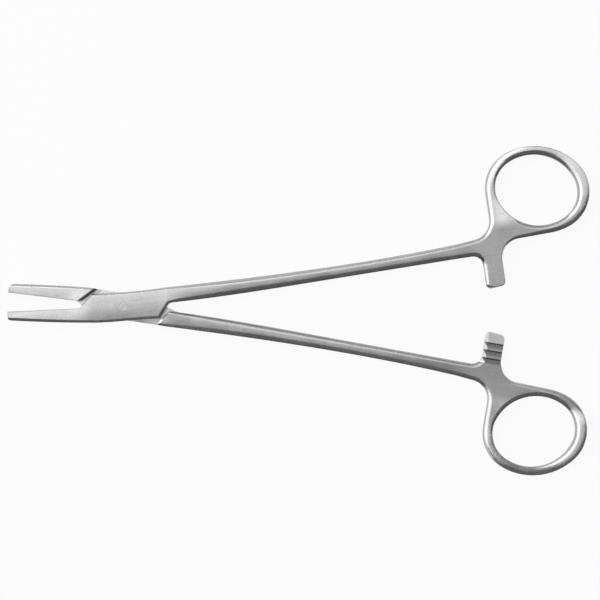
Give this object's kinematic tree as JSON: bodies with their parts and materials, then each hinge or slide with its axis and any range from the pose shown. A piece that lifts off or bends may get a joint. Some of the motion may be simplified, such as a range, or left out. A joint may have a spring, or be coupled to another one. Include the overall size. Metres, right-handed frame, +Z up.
{
  "type": "surgical needle holder",
  "caption": "Straight surgical needle holder with two ring-handled arms crossed in a box lock, blunt gripping jaws and a step ratchet between the shanks.",
  "frame": {"origin": "on the lock pin's axis, in the plane of the box lock's underside", "axes": "+X runs from the pin towards the finger rings, +Y towards the box arm's ring, +Z up along the pin"},
  "size_m": [0.1802, 0.102, 0.0054],
  "materials": {
    "satin_steel": "fine satin finish, hardened stainless steel"
  },
  "bodies": {
    "box_arm_body": {"box_arm": "satin_steel", "lock_pin": "satin_steel"},
    "tongue_arm_body": {"tongue_arm": "satin_steel"}
  },
  "joints": [
    {"name": "box_lock_hinge", "type": "hinge", "parent": "box_arm_body", "child": "tongue_arm_body", "pos_m": [0, 0, 0.0027], "axis": [0, 0, 1], "range_deg": [-28, 9.4]}
  ]
}
